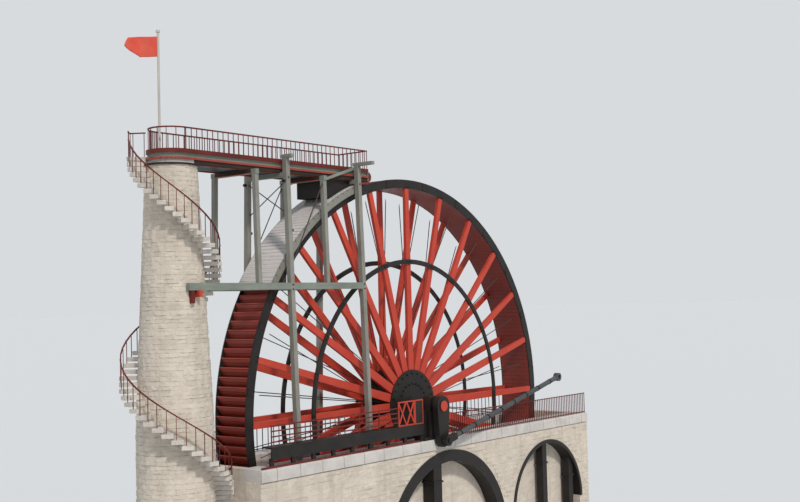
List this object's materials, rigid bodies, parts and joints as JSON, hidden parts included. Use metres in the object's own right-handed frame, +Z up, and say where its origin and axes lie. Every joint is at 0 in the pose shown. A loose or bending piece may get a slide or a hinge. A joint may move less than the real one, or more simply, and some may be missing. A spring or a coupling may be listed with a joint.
{
  "type": "water wheel",
  "caption": "Large pitch-back water wheel with spoked sides and bucketed rim, turning in a walled pit beside a stair tower that carries its high launder platform.",
  "frame": {"origin": "underside of the pit floor, straight below the middle of the axle", "axes": "+X along the wheel away from the tower, +Y along the axle away from the crank side, +Z up"},
  "size_m": [30.446, 5.74, 27.79],
  "materials": {
    "whitewash": "whitewashed rubble, uneven and weathered",
    "coping_stone": "pale dressed stone",
    "black_iron": "black paint over iron, dusty and worn",
    "spoke_red": "vermilion paint on timber, sun bleached",
    "drum_red": "dull brown red paint on wet boards",
    "rail_red": "dark red paint on iron rails",
    "grey_timber": "grey paint on squared timber",
    "casing_white": "pale paint on thin boards",
    "deck_wood": "bare walked-on boards",
    "flag_red": "plain red bunting",
    "rod_wood": "grey weathered timber bound with iron"
  },
  "bodies": {
    "structure": {"pit_floor": "whitewash", "near_wall": "whitewash", "far_wall": "whitewash", "end_walls": "whitewash", "copings": "coping_stone", "arch_rings": "black_iron", "arch_columns": "black_iron", "bearings": "black_iron", "walkway_girder": "black_iron", "walkway_railings": "rail_red", "bearing_screens": "spoke_red", "tower": "whitewash", "tower_cornice": "black_iron", "stair_treads": "whitewash", "stair_landing": "whitewash", "stair_railing": "rail_red", "platform_deck": "deck_wood", "side_girders": "grey_timber", "platform_railings": "rail_red", "launder_trough": "black_iron", "penstock": "black_iron", "cross_beams": "grey_timber", "outrigger_caps": "grey_timber", "tall_posts": "grey_timber", "short_posts": "grey_timber", "side_beams": "grey_timber", "beam_brackets": "rail_red", "brace_rods": "black_iron", "casing_boards": "casing_white", "casing_edges": "grey_timber", "flagpole": "grey_timber", "flag": "flag_red", "bench": "rail_red"},
    "wheel": {"axle": "black_iron", "wheel_hubs": "black_iron", "near_spokes": "spoke_red", "far_spokes": "spoke_red", "near_mid_ring": "black_iron", "far_mid_ring": "black_iron", "near_shroud": "black_iron", "far_shroud": "black_iron", "sole_boards": "drum_red", "buckets": "drum_red", "tie_rods": "black_iron", "crank": "black_iron"},
    "rod": {"connecting_rod": "rod_wood", "rod_big_end": "black_iron"}
  },
  "joints": [
    {"name": "wheel_spin", "type": "hinge", "parent": "structure", "child": "wheel", "pos_m": [0, 0, 11.6], "axis": [0, -1, 0], "continuous": true},
    {"name": "rod_pivot", "type": "hinge", "parent": "wheel", "child": "rod", "pos_m": [0, -3.03, 9.98], "axis": [0, -1, 0], "continuous": true}
  ],
  "couplings": [
    {"joint": "rod_pivot", "follows": "wheel_spin", "ratio": -1}
  ]
}
